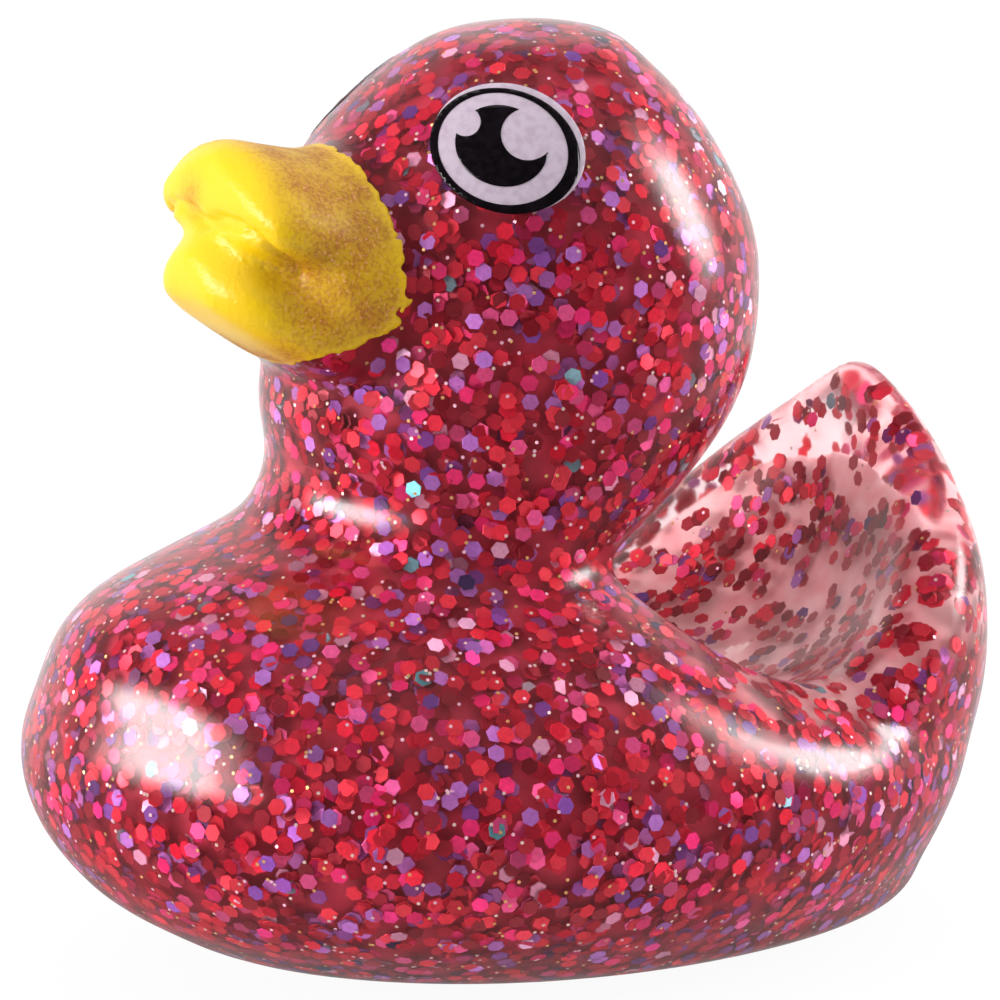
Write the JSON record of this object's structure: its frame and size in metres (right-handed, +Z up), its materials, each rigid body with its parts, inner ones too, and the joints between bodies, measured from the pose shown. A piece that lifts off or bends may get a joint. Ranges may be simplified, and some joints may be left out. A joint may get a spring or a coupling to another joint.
{
  "type": "rubber duck",
  "caption": "Small hollow duck figure moulded in one piece, with a bill, an upturned tail, a scooped back and a flat base to stand on.",
  "frame": {"origin": "on the resting plane, midway along the length and the width", "axes": "+Z up, -Y the way the bill points, +X the duck's own left"},
  "size_m": [0.0466, 0.0598, 0.0549],
  "materials": {
    "clear_pvc": "glossy translucent pink, full of mixed glitter",
    "glitter": "cut foil flakes inside the wall, mixed reds, pinks and violets",
    "bill_paint": "sprayed yellow paint with an orange grain",
    "eye_white": "printed, satin",
    "eye_black": "printed, glossy"
  },
  "bodies": {
    "root": {"duck_shell": "clear_pvc"}
  },
  "joints": []
}
